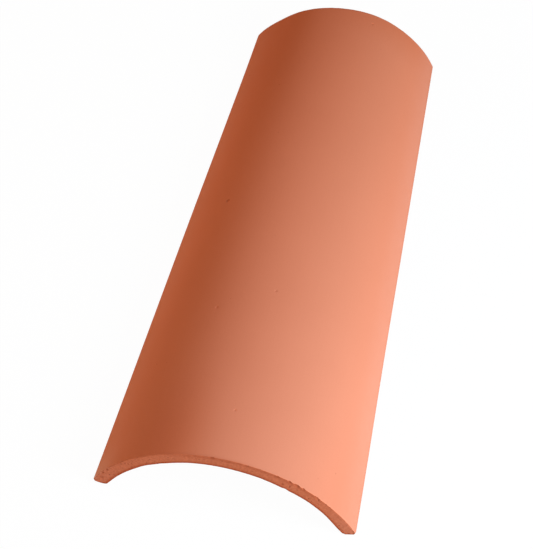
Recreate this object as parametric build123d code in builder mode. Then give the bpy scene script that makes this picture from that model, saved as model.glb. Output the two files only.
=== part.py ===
# Curved clay roof tile: one tapering arched wall of fired clay that lies on its two long edges.
# Millimetres. X runs across the tile, Y along it from the wide end to the narrow end, and Z is up.
# The origin is on the floor under the middle of the tile.

import os
from math import atan, cos, degrees

from build123d import *

# The tile is a strip of a cone's wall: this long, and this thick
tile_length = 500
wall = 11

# Widths over the outer corners of the feet, and the height of the wide end's crown over those corners
wide_end_width = 200
narrow_end_width = 162
wide_end_rise = 64

# The wet clay's edges are softened after it is cut
edge_radius = 1

# Half the angle that the arch spans about the cone's axis, and the outer radius at each end
half_arch = 2 * atan(wide_end_rise / (wide_end_width / 2))
wide_end_radius = wide_end_rise / (1 - cos(half_arch))
narrow_end_radius = wide_end_radius * narrow_end_width / wide_end_width

# The cone's axis climbs towards the narrow end by as much as brings the feet level
axis_climb = atan((wide_end_radius - narrow_end_radius) * cos(half_arch) / tile_length)

with BuildPart() as tile:
    # The wall's lengthwise section at one foot, which is cut square to the wall
    with BuildSketch(Plane.YZ.rotated((0, -degrees(half_arch), 0))):
        with BuildLine():
            Polyline(
                (-tile_length / 2, wide_end_radius),
                (tile_length / 2, narrow_end_radius),
                (tile_length / 2, narrow_end_radius - wall),
                (-tile_length / 2, wide_end_radius - wall),
                close=True,
            )
        make_face()
    revolve(axis=Axis.Y, revolution_arc=2 * degrees(half_arch))
    fillet(tile.edges(), radius=edge_radius)

# Laid on the floor with its middle over the origin
tile.part.move(Location((0, 0, 0), (degrees(axis_climb), 0, 0)))
box = tile.part.bounding_box()
tile.part.move(Location((0, -box.center().Y, -box.min.Z)))
tile.part.label = "tile"

os.makedirs("parts", exist_ok=True)
export_step(tile.part, "parts/tile.step")
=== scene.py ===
import bmesh
import bpy
from math import atan, atan2, copysign, cos, exp, hypot, radians, sin
from mathutils import Matrix, Vector, noise
from mathutils.kdtree import KDTree


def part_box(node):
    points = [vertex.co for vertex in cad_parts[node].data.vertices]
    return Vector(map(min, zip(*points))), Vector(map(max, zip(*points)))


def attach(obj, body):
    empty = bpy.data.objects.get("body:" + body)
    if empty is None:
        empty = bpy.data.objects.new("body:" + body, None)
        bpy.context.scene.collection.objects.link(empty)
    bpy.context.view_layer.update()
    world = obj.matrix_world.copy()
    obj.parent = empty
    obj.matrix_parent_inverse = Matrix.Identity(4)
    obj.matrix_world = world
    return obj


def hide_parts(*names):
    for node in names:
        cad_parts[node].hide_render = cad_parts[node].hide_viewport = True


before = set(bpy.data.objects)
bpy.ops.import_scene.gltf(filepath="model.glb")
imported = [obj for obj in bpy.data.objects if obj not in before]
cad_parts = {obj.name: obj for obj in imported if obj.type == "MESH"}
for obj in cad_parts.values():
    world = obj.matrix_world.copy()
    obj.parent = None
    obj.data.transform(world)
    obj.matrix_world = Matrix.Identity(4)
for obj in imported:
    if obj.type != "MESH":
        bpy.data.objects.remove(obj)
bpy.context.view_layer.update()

# Camera
# The tile is seen from above its wide end and a little from its right, with a long lens. All lengths in this
# file are in metres.
camera_azimuth = radians(8.88)
camera_elevation = radians(50.77)
camera_roll = radians(4.12)
camera_lens = 120.9
camera_distance = 1.479
camera_aim = Vector((-0.0118, -0.0450, 0.0300))

camera_data = bpy.data.cameras.new("photo_camera")
camera_data.lens = camera_lens
camera = bpy.data.objects.new("photo_camera", camera_data)
bpy.context.scene.collection.objects.link(camera)
towards_camera = Vector((
    sin(camera_azimuth) * cos(camera_elevation),
    -cos(camera_azimuth) * cos(camera_elevation),
    sin(camera_elevation),
))
camera.rotation_mode = "QUATERNION"
upright_turn = towards_camera.to_track_quat("Z", "Y").to_matrix().to_4x4()
camera.rotation_quaternion = (upright_turn @ Matrix.Rotation(camera_roll, 4, "Z")).to_quaternion()
camera.location = camera_aim + towards_camera * camera_distance
bpy.context.scene.camera = camera
bpy.context.scene.view_settings.view_transform = "Standard"

# Studio
# A wide white floor under a white surround, lit by three large soft lamps. The main one stands on the right
# and is slightly cool, and two warmer and weaker ones stand on the left and in front.
floor_size = 12.0
floor_white = (0.9, 0.9, 0.9, 1.0)
floor_glow_share = 0.98
surround_white = (1.0, 1.0, 1.0, 1.0)
surround_light = 0.05
surround_tint = (1.0, 0.50, 0.30, 1.0)
lamps = {
    "right_lamp": dict(place=(0.94, -0.42, 0.69), size=0.60, power=22.45, tint=(0.84, 1.00, 1.16)),
    "left_lamp": dict(place=(-1.02, -0.05, 0.69), size=0.60, power=7.0, tint=(0.97, 0.59, 0.32)),
    "front_lamp": dict(place=(0.0, -1.60, 0.20), size=0.70, power=3.0, tint=(1.00, 0.85, 0.72)),
}
lamp_aim = Vector((0.0, -0.05, 0.05))


def white_where_seen(nodes, links):
    """A mask that is one for the rays that show the background, and zero for those that light the object."""
    path = nodes.new("ShaderNodeLightPath")
    seen = path.outputs["Is Camera Ray"]
    for also in ("Is Glossy Ray", "Is Transmission Ray"):
        larger = nodes.new("ShaderNodeMath")
        larger.operation = "MAXIMUM"
        links.new(seen, larger.inputs[0])
        links.new(path.outputs[also], larger.inputs[1])
        seen = larger.outputs[0]
    return seen


world = bpy.data.worlds.new("white_surround")
world.use_nodes = True
bpy.context.scene.world = world
nodes, links = world.node_tree.nodes, world.node_tree.links
nodes.clear()
room_light = nodes.new("ShaderNodeBackground")
room_light.inputs["Strength"].default_value = surround_light
room_light.inputs["Color"].default_value = surround_tint
room_white = nodes.new("ShaderNodeBackground")
room_white.inputs["Color"].default_value = surround_white
room_mix = nodes.new("ShaderNodeMixShader")
links.new(white_where_seen(nodes, links), room_mix.inputs["Fac"])
links.new(room_light.outputs[0], room_mix.inputs[1])
links.new(room_white.outputs[0], room_mix.inputs[2])
links.new(room_mix.outputs[0], nodes.new("ShaderNodeOutputWorld").inputs["Surface"])

floor_material = bpy.data.materials.new("white_floor")
floor_material.use_nodes = True
nodes, links = floor_material.node_tree.nodes, floor_material.node_tree.links
nodes.clear()
floor_paint = nodes.new("ShaderNodeBsdfDiffuse")
floor_paint.inputs["Color"].default_value = floor_white
floor_glow = nodes.new("ShaderNodeEmission")
glow_share = nodes.new("ShaderNodeMath")
glow_share.operation = "MULTIPLY"
glow_share.inputs[1].default_value = floor_glow_share
links.new(white_where_seen(nodes, links), glow_share.inputs[0])
floor_mix = nodes.new("ShaderNodeMixShader")
links.new(glow_share.outputs[0], floor_mix.inputs["Fac"])
links.new(floor_paint.outputs[0], floor_mix.inputs[1])
links.new(floor_glow.outputs[0], floor_mix.inputs[2])
links.new(floor_mix.outputs[0], nodes.new("ShaderNodeOutputMaterial").inputs["Surface"])

floor_mesh = bpy.data.meshes.new("floor")
bm = bmesh.new()
bmesh.ops.create_grid(bm, x_segments=1, y_segments=1, size=floor_size / 2)
bm.to_mesh(floor_mesh)
bm.free()
floor_mesh.materials.append(floor_material)
floor = bpy.data.objects.new("floor", floor_mesh)
bpy.context.scene.collection.objects.link(floor)

for name, lamp in lamps.items():
    lamp_data = bpy.data.lights.new(name, "AREA")
    lamp_data.shape = "DISK"
    lamp_data.size = lamp["size"]
    lamp_data.energy = lamp["power"]
    lamp_data.color = lamp["tint"]
    lamp_object = bpy.data.objects.new(name, lamp_data)
    lamp_object.visible_camera = False
    lamp_object.location = lamp["place"]
    lamp_object.rotation_mode = "QUATERNION"
    lamp_object.rotation_quaternion = (Vector(lamp["place"]) - lamp_aim).to_track_quat("Z", "Y")
    bpy.context.scene.collection.objects.link(lamp_object)

# Clay tile
# One piece of fired red clay: a slab pressed over a tapering half-round former, trimmed with a wire at both
# ends and along both feet while wet, then dried and fired. The outside is smoothed, and the underside keeps
# the sand of the former.
tile_length = 0.500
wall = 0.011
wide_end_width = 0.200
narrow_end_width = 0.162
wide_end_rise = 0.064
foot_rounding = 0.0016
foot_rounding_segments = 4
arris_rounding = 0.0004
arris_segments = 3

# The wall is a strip of a cone: half the angle that the arch spans, the outer radii, and how the axis climbs
half_arch = 2 * atan(wide_end_rise / (wide_end_width / 2))
wide_end_radius = wide_end_rise / (1 - cos(half_arch))
narrow_end_radius = wide_end_radius * narrow_end_width / wide_end_width
outer_slope = (wide_end_radius - narrow_end_radius) / tile_length
axis_climb = atan(outer_slope * cos(half_arch))
near_end = -tile_length / 2
far_end = tile_length / 2

# Spacing of the mesh: fine rows beside the cut ends and wide ones along the middle
first_row = 0.0012
end_row = 0.0009
end_rows = 8
row_growth = 1.30
middle_row = 0.0070
outer_wall_row = 0.0020
inner_wall_row = 0.0012
wall_row = 0.0010
arch_step = 0.0009
cut_tolerance = 1e-7


def row_places():
    """Distances of the mesh's rows from a cut end, up to the tile's middle."""
    place = first_row
    spacing = end_row
    count = 0
    while place < far_end - middle_row / 2:
        yield place
        count += 1
        if count > end_rows:
            spacing = min(spacing * row_growth, middle_row)
        place += spacing


def outer_radius(along):
    """Radius of the outside about the cone's axis, at a place along the tile from its middle."""
    return (wide_end_radius + narrow_end_radius) / 2 - outer_slope * along


bm = bmesh.new()
section_corners = [
    bm.verts.new((0, along, outer_radius(along) - depth))
    for along, depth in ((near_end, 0), (far_end, 0), (far_end, wall), (near_end, wall))
]
bm.faces.new(section_corners)


def cut_section(point, normal):
    """Adds a row of edges across the section."""
    everything = bm.verts[:] + bm.edges[:] + bm.faces[:]
    bmesh.ops.bisect_plane(bm, geom=everything, dist=cut_tolerance, plane_co=point, plane_no=normal)


for place in row_places():
    cut_section((0, near_end + place, 0), (0, 1, 0))
    cut_section((0, far_end - place, 0), (0, 1, 0))
cut_section((0, 0, 0), (0, 1, 0))
wall_middle = wall - outer_wall_row - inner_wall_row
wall_cuts = round(wall_middle / wall_row)
for cut in range(wall_cuts + 1):
    depth = outer_wall_row + wall_middle * cut / wall_cuts
    cut_section((0, 0, outer_radius(0) - depth), (0, outer_slope, 1))

section = bm.verts[:] + bm.edges[:] + bm.faces[:]
bmesh.ops.rotate(bm, cent=(0, 0, 0), matrix=Matrix.Rotation(-half_arch, 3, "Y"), verts=bm.verts[:])
foot_step = outer_wall_row / narrow_end_radius
arch_steps = round(2 * (half_arch - foot_step) * wide_end_radius / arch_step)
for angle, steps in ((foot_step, 1), (2 * (half_arch - foot_step), arch_steps), (foot_step, 1)):
    spun = bmesh.ops.spin(bm, geom=section, cent=(0, 0, 0), axis=(0, 1, 0), angle=angle, steps=steps)
    section = spun["geom_last"]
bmesh.ops.recalc_face_normals(bm, faces=bm.faces[:])


def place_on_wall(point):
    """A point's angle from the crown, distance along from the middle, and depth below the outside."""
    return atan2(point.x, point.z), point.y, outer_radius(point.y) - hypot(point.x, point.z)


def is_outer_foot_arris(edge):
    """True for the long edges where the outside meets a foot."""
    tolerance = first_row / 2
    for vert in edge.verts:
        angle, along, depth = place_on_wall(vert.co)
        if abs(depth) > tolerance or (half_arch - abs(angle)) * narrow_end_radius > tolerance:
            return False
    return abs(edge.verts[0].co.y - edge.verts[1].co.y) > tolerance


def round_edges(edges, radius, segments):
    """Rounds a list of edges, with this many flats round each."""
    bmesh.ops.bevel(
        bm, geom=edges, offset=radius, offset_type="OFFSET", segments=segments,
        profile=0.5, affect="EDGES", material=-1, clamp_overlap=True,
    )


sharp_angle = radians(40)
outer_foot_edges = [edge for edge in bm.edges if is_outer_foot_arris(edge)]
round_edges(outer_foot_edges, foot_rounding, foot_rounding_segments)
sharp_edges = [edge for edge in bm.edges if edge.calc_face_angle(0) > sharp_angle]
round_edges(sharp_edges, arris_rounding, arris_segments)

# The cone's axis climbs towards the narrow end, so that both feet lie on the floor along their whole length
bmesh.ops.rotate(bm, cent=(0, 0, 0), matrix=Matrix.Rotation(axis_climb, 3, "X"), verts=bm.verts[:])
tile_low, tile_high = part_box("tile")
mesh_low = Vector([min(vert.co[axis] for vert in bm.verts) for axis in range(3)])
mesh_high = Vector([max(vert.co[axis] for vert in bm.verts) for axis in range(3)])
to_floor = (tile_low + tile_high) / 2 - (mesh_low + mesh_high) / 2
bmesh.ops.translate(bm, vec=to_floor, verts=bm.verts[:])
from_cone = Matrix.Translation(to_floor) @ Matrix.Rotation(axis_climb, 4, "X")
to_cone = from_cone.inverted()

# Marks of making and handling
# Chips broke off the arrises of the wide end as the tile was handled, its corners at the feet are rubbed
# round, and pits are where grit or air came out of the clay.

# A mark's place is its angle from the crown in degrees, its depth below the outside and its distance along
# from the middle of the length. Reach is how far it goes over the surface, bite how deep it is, and the
# shade value how strongly its hollow is darkened by painted shade. Its way has three shares: away from the
# axis, towards the narrow end, and down to the foot.
chips = (
    dict(angle=-5.0, depth=0.0008, reach=0.0026, bite=0.0004, painted_shade=0.4, way=(0.3, -1, 0)),
    dict(angle=20.8, depth=0.0, reach=0.0016, bite=0.0004, painted_shade=0.3, way=(0.15, -1, 0)),
    dict(angle=25.9, depth=0.0, reach=0.0018, bite=0.0007, painted_shade=0.8, way=(0.15, -1, 0)),
    dict(angle=29.2, depth=0.0, reach=0.0030, bite=0.0008, painted_shade=0.7, way=(0.15, -1, 0)),
    dict(angle=32.3, depth=0.0, reach=0.0016, bite=0.0006, painted_shade=0.7, way=(0.15, -1, 0)),
    dict(angle=39.2, depth=0.0, reach=0.0034, bite=0.0005, painted_shade=0.4, way=(0.15, -1, 0)),
    dict(angle=-54.2, depth=0.0010, reach=0.0015, bite=0.0005, painted_shade=0.4, way=(0.3, -1, 0)),
    dict(angle=-57.5, depth=0.0010, reach=0.0015, bite=0.0005, painted_shade=0.5, way=(0.3, -1, 0)),
    dict(angle=-60.8, depth=0.0033, reach=0.0024, bite=0.0003, painted_shade=0.5, way=(0, -1, 0)),
    dict(angle=27.4, depth=wall, reach=0.0034, bite=0.0006, painted_shade=0.3, way=(-0.5, -1, 0)),
    dict(angle=24.6, depth=0.0065, reach=0.0012, bite=0.0003, painted_shade=0.6, way=(0, -1, 0)),
)
corners = (
    dict(side=1, depth=wall, reach=0.0046, bite=0.0013, painted_shade=0.1),
    dict(side=1, depth=0.0, reach=0.0046, bite=0.0016, painted_shade=0.1),
    dict(side=-1, depth=0.0, reach=0.0034, bite=0.0014, painted_shade=0.9),
    dict(side=-1, depth=wall, reach=0.0030, bite=0.0007, painted_shade=0.1),
)
corner_end_share = -0.35
pits = (
    dict(angle=-35.0, along=0.0121, reach=0.0019, bite=0.0006, painted_shade=0.3),
    dict(angle=-21.8, along=-0.1076, reach=0.0014, bite=0.0003, painted_shade=0.2),
    dict(angle=14.4, along=0.2381, reach=0.0013, bite=0.0003, painted_shade=0.2),
    dict(angle=-1.4, along=-0.2050, reach=0.0012, bite=0.0003, painted_shade=0.2),
    dict(angle=1.7, along=-0.0863, reach=0.0012, bite=0.0003, painted_shade=0.2),
)
scoop_roughness_share = 0.35
scoop_grain = 0.0007

# The mesh is finer beside each mark
fine_edge = 0.0004
fine_passes = 5


def hill(distance_share):
    """A smooth hill, one at its top and nothing about twice its width away."""
    return exp(-distance_share ** 2)


def slope_up(value, low, high):
    """Rises smoothly from zero at the low value to one at the high value."""
    share = min(max((value - low) / (high - low), 0), 1)
    return share * share * (3 - 2 * share)


# How this tile departs from a true cone: swells of the whole wall, leans of the feet, and a thicker, wavy
# lip. Angles from the crown and widths across are in degrees.
swells = (
    dict(angle=-5, along=far_end, wide=45, long=0.06, out=-0.0005),
    dict(angle=15, along=far_end, wide=20, long=0.10, out=0.0017),
    dict(angle=-46, along=far_end, wide=18, long=0.10, out=-0.0019),
    dict(angle=52, along=near_end, wide=16, long=0.06, out=-0.0009),
)
foot_leans = (
    dict(side=1, along=near_end, long=0.10, out=0.0011),
    dict(side=1, along=0.015, long=0.12, out=0.0001),
    dict(side=-1, along=far_end, long=0.10, out=0.0008),
    dict(side=-1, along=far_end, long=0.03, out=0.0004),
    dict(side=-1, along=0.02, long=0.10, out=0.0002),
    dict(side=-1, along=near_end, long=0.12, out=-0.0003),
)
lean_starts = radians(42)
lip_swell = 0.0007
lip_length = 0.09
lip_starts = radians(-8)
lip_full = radians(20)
lip_waves = (
    dict(angle=-37, wide=4, thick=-0.0005),
    dict(angle=-16, wide=5, thick=-0.0004),
    dict(angle=12, wide=5, thick=-0.0002),
    dict(angle=26, wide=4, thick=0.0005),
    dict(angle=38, wide=4, thick=-0.0003),
    dict(angle=47, wide=9, thick=-0.00105),
    dict(angle=66, wide=4, thick=-0.0015),
    dict(angle=-66, wide=4, thick=-0.0004),
)

# The wire cut the feet flatter than square to the wall, and ran out of line at the wide end's left foot
foot_fall = 0.0010
foot_runs_out = 0.0018
foot_bulge = 0.0009
foot_run_length = 0.016
foot_reach = 0.0060

# The whole surface has low waves from pressing and smoothing
wave_height = 0.00022
wave_length = 0.11
smoothing_height = 0.00003
smoothing_length = 0.021


def extra_lip(angle):
    """How much thicker than the plain wall the wide end is, at an angle from the crown."""
    lip = lip_swell * slope_up(angle, lip_starts, lip_full)
    for wave in lip_waves:
        lip += wave["thick"] * hill((angle - radians(wave["angle"])) / radians(wave["wide"]))
    return lip


def fall_of_foot(side, along, depth):
    """How far below the square cut a foot's face lies."""
    fall = foot_fall * (1 - depth / wall)
    if side < 0:
        bulge = foot_bulge * (1 - (2 * depth / wall - 1) ** 2)
        fall += (bulge - foot_runs_out * depth / wall) * hill((along - near_end) / foot_run_length)
    return fall


def down_to_foot(angle):
    """The direction along the wall's curve towards the nearer foot, on the cone."""
    return Vector((copysign(1, angle) * cos(angle), 0, -abs(sin(angle))))


def wall_point(angle, along, depth):
    """Where a place on the wall lies, with the tile's departures from a true cone."""
    radius = outer_radius(along) - depth
    for swell in swells:
        off_angle = (angle - radians(swell["angle"])) / radians(swell["wide"])
        radius += swell["out"] * hill(off_angle) * hill((along - swell["along"]) / swell["long"])
    radius -= extra_lip(angle) * hill((along - near_end) / lip_length) * depth / wall
    point = Vector((radius * sin(angle), along, radius * cos(angle)))
    ripple = wave_height * noise.noise(point / wave_length)
    ripple += smoothing_height * noise.noise(point / smoothing_length)
    ripple *= slope_up(half_arch - abs(angle), 0, half_arch - lean_starts)
    point += Vector((sin(angle), 0, cos(angle))) * ripple
    at_foot = hill((half_arch - abs(angle)) * radius / foot_reach)
    point += down_to_foot(angle) * fall_of_foot(copysign(1, angle), along, depth) * at_foot
    for lean in foot_leans:
        near_foot = slope_up(angle * lean["side"], lean_starts, half_arch)
        point.x += lean["side"] * lean["out"] * near_foot * hill((along - lean["along"]) / lean["long"])
    return from_cone @ point


def outwards(angle, out_share, end_share, foot_share=0):
    """A direction with these shares away from the axis, towards the narrow end and down to the foot."""
    direction = Vector((out_share * sin(angle), end_share, out_share * cos(angle)))
    direction += down_to_foot(angle) * foot_share
    return (from_cone.to_3x3() @ direction).normalized()


scoops = []
for chip in chips:
    scoops.append(dict(chip, angle=radians(chip["angle"]), along=near_end))
for corner in corners:
    way = (1 - 2 * corner["depth"] / wall, corner_end_share, 1)
    scoops.append(dict(corner, angle=corner["side"] * half_arch, along=near_end, way=way))
for pit in pits:
    scoops.append(dict(pit, angle=radians(pit["angle"]), depth=0.0, way=(1, 0, 0)))

scoop_tree = KDTree(len(scoops))
for index, scoop in enumerate(scoops):
    radius = outer_radius(scoop["along"]) - scoop["depth"]
    on_cone = Vector((radius * sin(scoop["angle"]), scoop["along"], radius * cos(scoop["angle"])))
    scoop_tree.insert(from_cone @ on_cone, index)
scoop_tree.balance()
for _ in range(fine_passes):
    long_edges = []
    for edge in bm.edges:
        length = edge.calc_length()
        if length > fine_edge:
            _, index, distance = scoop_tree.find((edge.verts[0].co + edge.verts[1].co) / 2)
            if distance < scoops[index]["reach"] + length / 2:
                long_edges.append(edge)
    bmesh.ops.subdivide_edges(bm, edges=long_edges, cuts=1, use_grid_fill=True)


def side_distances(point):
    """Distances of a point from the outside, the underside, the nearer cut end and the nearer foot."""
    angle, along, depth = place_on_wall(to_cone @ point)
    foot = (half_arch - abs(angle)) * (outer_radius(along) - depth)
    return depth, wall - depth, far_end - abs(along), foot


# Each face takes the clay of the side that it is nearest to: smoothed outside, sanded underside, or cut
cut_clay_index = 2
for face in bm.faces:
    face.smooth = True
    distances = side_distances(face.calc_center_median())
    face.material_index = min(distances.index(min(distances)), cut_clay_index)

# Cut faces are not quite flat, and their arrises are a little worn
cut_wave_height = 0.00016
cut_wave_length = 0.026
cut_grain_height = 0.00007
cut_grain_length = 0.0024
cut_reach = 0.0022
wear_depth = 0.00016
wear_length = 0.0055
wear_reach = 0.0009

# The colour changes along the arrises: browner lines beside the ends and the feet, a painted shadow line
# just inside the wide end's outer arris, and painted bounce light that makes the outside paler by the wide
# end's left foot
outer_end_band = 0.0009
inner_end_band = 0.0028
foot_band = 0.0020
shadow_depth = 0.0010
shadow_band = 0.0014
shadow_starts = radians(-30)
shadow_full = radians(-8)
shadow_fades = radians(35)
shadow_ends = radians(50)
crown_full = radians(0)
crown_ends = radians(20)
# Painted bounce light: paler clay on the outside by the wide end's left foot
painted_bounce_starts = radians(43)
painted_bounce_length = 0.018


def arris_shares(angle, along, depth):
    """How far each change of colour shows at a place on the wall, painted shadow and painted bounce light
    among them.
    """
    end_distance = far_end - abs(along)
    foot_distance = (half_arch - abs(angle)) * (outer_radius(along) - depth)
    from_side = min(depth, wall - depth)
    end_band = outer_end_band + (inner_end_band - outer_end_band) * depth / wall
    end_arris = depth / wall * hill(hypot(end_distance, min(from_side, foot_distance)) / end_band)
    # Painted shadow: a darker line just inside the wide end's outer arris, from about -30 to 50 degrees
    shadow = slope_up(angle, shadow_starts, shadow_full) * (1 - slope_up(angle, shadow_fades, shadow_ends))
    shadow *= max(slope_up(depth, 0, arris_rounding), 1 - slope_up(angle, crown_full, crown_ends))
    shadow *= hill((depth - shadow_depth) / shadow_band)
    # Painted bounce light on the outside by the wide end's left foot
    painted_bounce = slope_up(-angle, painted_bounce_starts, half_arch) * hill((along - near_end) / painted_bounce_length)
    return dict(
        end_arris=end_arris,
        painted_shadow_line=shadow * hill(end_distance / shadow_band),
        painted_bounce=painted_bounce * hill(depth / arris_rounding),
        foot_arris=hill(hypot(foot_distance, from_side) / foot_band),
    )


layers = {
    name: bm.verts.layers.float.new(name)
    for name in ("end_arris", "painted_shadow_line", "painted_bounce", "foot_arris", "scoop_shade")
}
for vert in bm.verts:
    angle, along, depth = place_on_wall(to_cone @ vert.co)
    for name, share in arris_shares(angle, along, depth).items():
        vert[layers[name]] = share
    from_arris = max(sorted(side_distances(vert.co))[1], 0)
    end_share = hill((far_end - abs(along)) / cut_reach)
    uneven = cut_wave_height * noise.noise(vert.co / cut_wave_length)
    uneven += cut_grain_height * noise.noise(vert.co / cut_grain_length)
    wear = wear_depth * max(noise.noise(vert.co / wear_length), 0) * hill(from_arris / wear_reach)
    endwise = copysign(1, along)
    inwards = -outwards(angle, 1 - 2 * depth / wall, endwise)
    vert.co = wall_point(angle, along, depth) + outwards(angle, 0, endwise) * uneven * end_share
    vert.co += inwards * wear * end_share
    vert.co.z = max(vert.co.z, 0)

# Each mark is scooped out as a part of a ball, with a rough floor that is darkened by painted shade, most at
# the bottom of the scoop
for scoop in scoops:
    place = wall_point(scoop["angle"], scoop["along"], scoop["depth"])
    outward = outwards(scoop["angle"], *scoop["way"])
    ball = (scoop["reach"] ** 2 + scoop["bite"] ** 2) / (2 * scoop["bite"])
    centre = place + outward * (ball - scoop["bite"])
    for vert in bm.verts:
        offset = vert.co - centre
        if offset.length < ball:
            rough = 1 + scoop_roughness_share * noise.noise(vert.co / scoop_grain)
            painted_shade = scoop["painted_shade"] * (ball - offset.length) / scoop["bite"]
            vert[layers["scoop_shade"]] = min(vert[layers["scoop_shade"]] + painted_shade, 1)
            vert.co = centre + offset.normalized() * (offset.length + (ball - offset.length) * rough)

# The larger faces beside each arris decide its shading, so that flat clay looks flat up to the rounding
bmesh.ops.recalc_face_normals(bm, faces=bm.faces[:])
shading = []
for vert in bm.verts:
    area_sum = sum((face.normal * face.calc_area() for face in vert.link_faces), Vector())
    shading.append(area_sum.normalized())
tile_mesh = bpy.data.meshes.new("clay_tile")
bm.to_mesh(tile_mesh)
bm.free()
tile_mesh.normals_split_custom_set_from_vertices(shading)

# The tile's clay
# One body of iron-rich red clay all through. The outside was smoothed with a wet hand, so it is even and
# matt. The cut faces show the redder, coarser inside, and the underside is dusted with sand from the former.
a_vector, a_colour, a_number = "NodeSocketVector", "NodeSocketColor", "NodeSocketFloat"


def new_group(name, inputs, outputs):
    """A shader group, with the kinds of its inputs and outputs given by their names."""
    group = bpy.data.node_groups.new(name, "ShaderNodeTree")
    for in_out, sockets in (("INPUT", inputs), ("OUTPUT", outputs)):
        for socket_name, kind in sockets.items():
            group.interface.new_socket(name=socket_name, in_out=in_out, socket_type=kind)
    return group, group.nodes.new("NodeGroupInput").outputs, group.nodes.new("NodeGroupOutput").inputs


def maths(tree, operation, first, second, third=None):
    """A Math node, fed with sockets or numbers."""
    node = tree.nodes.new("ShaderNodeMath")
    node.operation = operation
    for socket, value in zip(node.inputs, (first, second, third)):
        if value is None:
            continue
        if isinstance(value, (int, float)):
            socket.default_value = value
        else:
            tree.links.new(value, socket)
    return node.outputs[0]


def vector_maths(tree, operation, first, second=None):
    """A Vector Math node, fed with sockets."""
    node = tree.nodes.new("ShaderNodeVectorMath")
    node.operation = operation
    tree.links.new(first, node.inputs[0])
    if second is not None:
        tree.links.new(second, node.inputs[1])
    return node.outputs


def coordinates(tree, vector):
    """The three coordinates of a vector, by their letters."""
    node = tree.nodes.new("ShaderNodeSeparateXYZ")
    tree.links.new(vector, node.inputs[0])
    return node.outputs


def speckle(tree, vector, size, detail):
    """Noise between about zero and one, with grains of the size that a socket or number gives in metres."""
    node = tree.nodes.new("ShaderNodeTexNoise")
    node.inputs["Detail"].default_value = detail
    tree.links.new(vector, node.inputs["Vector"])
    tree.links.new(maths(tree, "DIVIDE", 1.0, size), node.inputs["Scale"])
    return node.outputs["Fac"]


def tinted(tree, colour, tint, share, blend="MULTIPLY"):
    """A colour multiplied by a tint, or mixed with it, as far as the share says."""
    node = tree.nodes.new("ShaderNodeMix")
    node.data_type = "RGBA"
    node.blend_type = blend
    factor, first, second = node.inputs["Factor"], node.inputs[6], node.inputs[7]
    tree.links.new(share, factor)
    tree.links.new(colour, first)
    second.default_value = tint
    return node.outputs[2]


# Clay body: broad clouds from drying and firing, a fine grain, and a redder narrow end, where the fire
# reached it more
cloud_tint = (0.86, 0.80, 0.76, 1.0)
cloud_detail = 2.0
grain_tint = (0.62, 0.50, 0.42, 1.0)
grain_detail = 3.0
flash_tint = (1.0, 0.87, 0.76, 1.0)
flash_middle_share = 0.5
clay_body, given, put = new_group(
    "clay_body",
    {
        "Vector": a_vector, "Colour": a_colour, "Cloud size": a_number, "Cloud share": a_number,
        "Grain size": a_number, "Grain share": a_number,
    },
    {"Colour": a_colour, "Grain": a_number},
)
cloud = speckle(clay_body, given["Vector"], given["Cloud size"], cloud_detail)
grain = speckle(clay_body, given["Vector"], given["Grain size"], grain_detail)
cloud_share = maths(clay_body, "MULTIPLY", cloud, given["Cloud share"])
grain_share = maths(clay_body, "MULTIPLY", grain, given["Grain share"])
clouded = tinted(clay_body, given["Colour"], cloud_tint, cloud_share)
grained = tinted(clay_body, clouded, grain_tint, grain_share)
place_along = coordinates(clay_body, given["Vector"])["Y"]
redder = maths(clay_body, "MULTIPLY_ADD", place_along, 1 / tile_length, flash_middle_share)
clay_body.links.new(tinted(clay_body, grained, flash_tint, redder), put["Colour"])
clay_body.links.new(grain, put["Grain"])

# Pores: small round pits where grit or air left the clay
least_pore_share = 0.4
pores, given, put = new_group(
    "pores",
    {"Vector": a_vector, "Spacing": a_number, "Size": a_number, "Share": a_number},
    {"Mask": a_number},
)
cells = pores.nodes.new("ShaderNodeTexVoronoi")
pores.links.new(given["Vector"], cells.inputs["Vector"])
pores.links.new(maths(pores, "DIVIDE", 1.0, given["Spacing"]), cells.inputs["Scale"])
cell_draw = pores.nodes.new("ShaderNodeSeparateColor")
pores.links.new(cells.outputs["Color"], cell_draw.inputs[0])
chosen = maths(pores, "LESS_THAN", cell_draw.outputs[0], given["Share"])
size_share = maths(pores, "ADD", cell_draw.outputs[1], least_pore_share)
own_size = maths(pores, "MULTIPLY", given["Size"], size_share)
filled = maths(pores, "SUBTRACT", 1.0, maths(pores, "DIVIDE", cells.outputs["Distance"], own_size))
pore_mask = maths(pores, "MULTIPLY", maths(pores, "MAXIMUM", filled, 0.0), chosen)
pores.links.new(pore_mask, put["Mask"])

# Drag marks: faint lines left along the tile by the wet hand and the former
line_detail = 2.0
drag_marks, given, put = new_group(
    "drag_marks",
    {"Vector": a_vector, "Line width": a_number, "Line stretch": a_number},
    {"Height": a_number},
)
stretch = drag_marks.nodes.new("ShaderNodeCombineXYZ")
stretch.inputs["X"].default_value = 1.0
stretch.inputs["Z"].default_value = 1.0
drag_marks.links.new(maths(drag_marks, "DIVIDE", 1.0, given["Line stretch"]), stretch.inputs["Y"])
stretched = vector_maths(drag_marks, "MULTIPLY", given["Vector"], stretch.outputs[0])[0]
lines = speckle(drag_marks, stretched, given["Line width"], line_detail)
drag_marks.links.new(lines, put["Height"])

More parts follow.
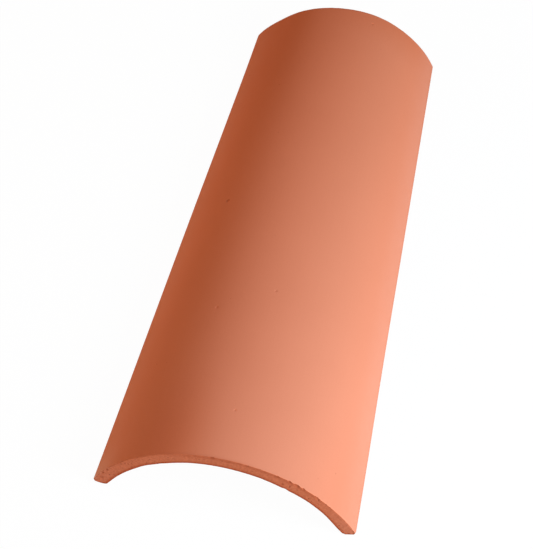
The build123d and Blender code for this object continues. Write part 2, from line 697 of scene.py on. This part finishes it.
# Foot dust and bounce light: a pale colour on the lowest part of the outside, beside the feet, partly dust
# and partly painted light bounced up from the floor
dust_and_bounce_top = 0.032
dust_and_bounce_full = 0.010
dust_and_bounce_cloud_size = 0.012
dust_and_bounce_cloud_detail = 2.0
least_dust_and_bounce_share = 0.5
foot_dust_and_bounce, given, put = new_group("foot_dust_and_bounce", {"Vector": a_vector, "Share": a_number}, {"Mask": a_number})
low = foot_dust_and_bounce.nodes.new("ShaderNodeMapRange")
low.interpolation_type = "SMOOTHSTEP"
low.inputs["From Min"].default_value = dust_and_bounce_top
low.inputs["From Max"].default_value = dust_and_bounce_full
foot_dust_and_bounce.links.new(coordinates(foot_dust_and_bounce, given["Vector"])["Z"], low.inputs["Value"])
patchy = speckle(foot_dust_and_bounce, given["Vector"], dust_and_bounce_cloud_size, dust_and_bounce_cloud_detail)
low_and_patchy = maths(foot_dust_and_bounce, "MULTIPLY", low.outputs[0], maths(foot_dust_and_bounce, "ADD", patchy, least_dust_and_bounce_share))
foot_dust_and_bounce.links.new(maths(foot_dust_and_bounce, "MULTIPLY", low_and_patchy, given["Share"]), put["Mask"])

# Fire cloud and painted shade: a redder, darker patch, from the kiln's fire at some places and painted shade
# at another
fire_and_shade_cloud, given, put = new_group(
    "fire_and_shade_cloud",
    {"Vector": a_vector, "Place": a_vector, "Squeeze": a_vector, "Reach": a_number, "Share": a_number},
    {"Mask": a_number},
)
from_place = vector_maths(fire_and_shade_cloud, "SUBTRACT", given["Vector"], given["Place"])[0]
squeezed = vector_maths(fire_and_shade_cloud, "MULTIPLY", from_place, given["Squeeze"])[0]
away = vector_maths(fire_and_shade_cloud, "LENGTH", squeezed)["Value"]
within_reach = fire_and_shade_cloud.nodes.new("ShaderNodeMapRange")
within_reach.interpolation_type = "SMOOTHSTEP"
fire_and_shade_cloud.links.new(given["Reach"], within_reach.inputs["From Min"])
within_reach.inputs["From Max"].default_value = 0.0
fire_and_shade_cloud.links.new(away, within_reach.inputs["Value"])
fire_and_shade_cloud.links.new(maths(fire_and_shade_cloud, "MULTIPLY", within_reach.outputs[0], given["Share"]), put["Mask"])


def placed(tree, group, **values):
    """A group node with its inputs set to numbers, colours or sockets; an underscore stands for a space."""
    node = tree.nodes.new("ShaderNodeGroup")
    node.node_tree = group
    for name, value in values.items():
        socket = node.inputs[name.replace("_", " ")]
        if isinstance(value, bpy.types.NodeSocket):
            tree.links.new(value, socket)
        else:
            socket.default_value = value
    return node.outputs


def mesh_share(tree, layer):
    """The share that a layer of the mesh gives at each place."""
    node = tree.nodes.new("ShaderNodeAttribute")
    node.attribute_name = layer
    return node.outputs["Fac"]


# Redder patches from the kiln's fire on the wide end's left side and the narrow end's right haunch, and
# painted shade on the wide end's right foot, where the main lamp lights the tile most
fire_and_shade_patches = (
    dict(Place=(-0.041, -0.250, 0.056), Squeeze=(2.2, 0.8, 1.0), Reach=0.085, Share=1.0),
    dict(Place=(0.045, 0.262, 0.045), Squeeze=(1.0, 1.6, 1.0), Reach=0.085, Share=0.9),
    dict(Place=(0.098, -0.255, 0.012), Squeeze=(1.0, 0.8, 1.0), Reach=0.085, Share=0.55),
)
# Tint of the fire patches and of the painted shade on the wide end's right foot
fire_and_shade_tint = (0.94, 0.82, 0.72, 1.0)
# Pale colour of the dust and of the painted bounce light
dust_and_bounce_colour = (0.68, 0.42, 0.33, 1.0)
# Painted shade that darkens the pores
pore_shade_tint = (0.62, 0.52, 0.46, 1.0)
# Tint of the painted shadow line under the wide end's outer arris
painted_shadow_tint = (0.84, 0.73, 0.67, 1.0)
# Share of the painted bounce light by the wide end's left foot
painted_bounce_share = 0.35
cloud_size = 0.07
line_stretch = 30.0
pore_depth_share = 3.0
roughness_range = 0.12
gloss_level = 0.1


def fired_clay(name, colour, end_tint, foot_tint, scoop_shade_tint, fire_and_shade_share, dust_and_bounce_share, cloud_share, grain,
               pore, line_width, line_share, relief, roughness):
    """One finish of the tile: its colour, grain, pores, drag marks and worn arrises, with painted shade in
    the pores, the scoops and under the wide end's outer arris, and painted bounce light low down.
    """
    clay = bpy.data.materials.new(name)
    clay.use_nodes = True
    tree = clay.node_tree
    shader = tree.nodes["Principled BSDF"]
    shader.inputs["Specular IOR Level"].default_value = gloss_level
    where = tree.nodes.new("ShaderNodeTexCoord").outputs["Object"]
    clouds = dict(Cloud_size=cloud_size, Cloud_share=cloud_share)
    body = placed(tree, clay_body, Vector=where, Colour=colour, **clouds, **grain)
    in_pores = placed(tree, pores, Vector=where, **pore)["Mask"]
    drag = dict(Line_width=line_width, Line_stretch=line_stretch)
    dragged = placed(tree, drag_marks, Vector=where, **drag)["Height"]

    # The colour is the clay's own, changed by redder patches from the kiln's fire and painted shade, by dust
    # and painted bounce light low down, by painted bounce light by the wide end's left foot, by painted
    # shade in the pores, and along the arrises, with a painted shadow line and painted shade in the scoops
    toned = body["Colour"]
    for fire in fire_and_shade_patches:
        fire_and_shade_mask = placed(tree, fire_and_shade_cloud, Vector=where, **fire)["Mask"]
        toned = tinted(tree, toned, fire_and_shade_tint, maths(tree, "MULTIPLY", fire_and_shade_mask, fire_and_shade_share))
    # Dust and painted bounce light make the lowest clay paler
    dust_and_bounce = placed(tree, foot_dust_and_bounce, Vector=where, Share=dust_and_bounce_share)["Mask"]
    toned = tinted(tree, toned, dust_and_bounce_colour, dust_and_bounce, "MIX")
    # Painted bounce light makes the outside paler by the wide end's left foot
    bounce_mask = maths(tree, "MULTIPLY", mesh_share(tree, "painted_bounce"), painted_bounce_share)
    toned = tinted(tree, toned, dust_and_bounce_colour, bounce_mask, "MIX")
    # Painted shade in the pores
    toned = tinted(tree, toned, pore_shade_tint, in_pores)
    # Two of the layers along the arrises paint shade: a shadow line under the wide end's outer arris, and
    # shade in the scoops of the chips, corners and pits
    arris_tints = dict(end_arris=end_tint, painted_shadow_line=painted_shadow_tint, foot_arris=foot_tint, scoop_shade=scoop_shade_tint)
    for layer, tint in arris_tints.items():
        toned = tinted(tree, toned, tint, mesh_share(tree, layer))
    tree.links.new(toned, shader.inputs["Base Color"])

    # The grain varies the gloss, and the grain, the drag marks and the pores give the fine relief
    rougher = maths(tree, "MULTIPLY_ADD", body["Grain"], roughness_range, roughness - roughness_range / 2)
    tree.links.new(rougher, shader.inputs["Roughness"])
    height = maths(tree, "MULTIPLY_ADD", dragged, line_share, body["Grain"])
    height = maths(tree, "MULTIPLY_ADD", in_pores, -pore_depth_share, height)
    bump = tree.nodes.new("ShaderNodeBump")
    bump.inputs["Distance"].default_value = relief
    tree.links.new(height, bump.inputs["Height"])
    tree.links.new(bump.outputs[0], shader.inputs["Normal"])
    return clay


# The outside, smoothed lengthwise with a wet hand
tile_mesh.materials.append(fired_clay(
    "smoothed_clay", colour=(0.65, 0.225, 0.126, 1.0), end_tint=(1.0, 1.0, 1.0, 1.0),
    foot_tint=(0.92, 0.78, 0.68, 1.0), scoop_shade_tint=(0.68, 0.50, 0.40, 1.0),
    fire_and_shade_share=1.0, dust_and_bounce_share=0.075, cloud_share=0.35,
    grain=dict(Grain_size=0.0009, Grain_share=0.11), pore=dict(Spacing=0.011, Size=0.055, Share=0.30),
    line_width=0.0016, line_share=0.6, relief=0.00005, roughness=0.80,
))
# The underside, with the former's sand pressed into it
tile_mesh.materials.append(fired_clay(
    "sanded_clay", colour=(0.66, 0.240, 0.140, 1.0), end_tint=(0.90, 0.76, 0.66, 1.0),
    foot_tint=(0.92, 0.80, 0.70, 1.0), scoop_shade_tint=(0.68, 0.50, 0.40, 1.0),
    fire_and_shade_share=0.0, dust_and_bounce_share=0.0, cloud_share=0.5,
    grain=dict(Grain_size=0.0007, Grain_share=0.31), pore=dict(Spacing=0.0032, Size=0.16, Share=0.45),
    line_width=0.0030, line_share=0.8, relief=0.00016, roughness=0.88,
))
# The ends and feet, where the wire tore the coarse grain and left a brown line along the arrises
tile_mesh.materials.append(fired_clay(
    "cut_clay", colour=(0.770, 0.221, 0.100, 1.0), end_tint=(0.64, 0.32, 0.06, 1.0),
    foot_tint=(0.68, 0.35, 0.10, 1.0), scoop_shade_tint=(0.60, 0.44, 0.35, 1.0),
    fire_and_shade_share=0.0, dust_and_bounce_share=0.05, cloud_share=0.4,
    grain=dict(Grain_size=0.0018, Grain_share=1.00), pore=dict(Spacing=0.0028, Size=0.28, Share=0.35),
    line_width=0.0012, line_share=0.5, relief=0.00022, roughness=0.86,
))

tile = bpy.data.objects.new("clay_tile", tile_mesh)
bpy.context.scene.collection.objects.link(tile)
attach(tile, "root")
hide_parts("tile")
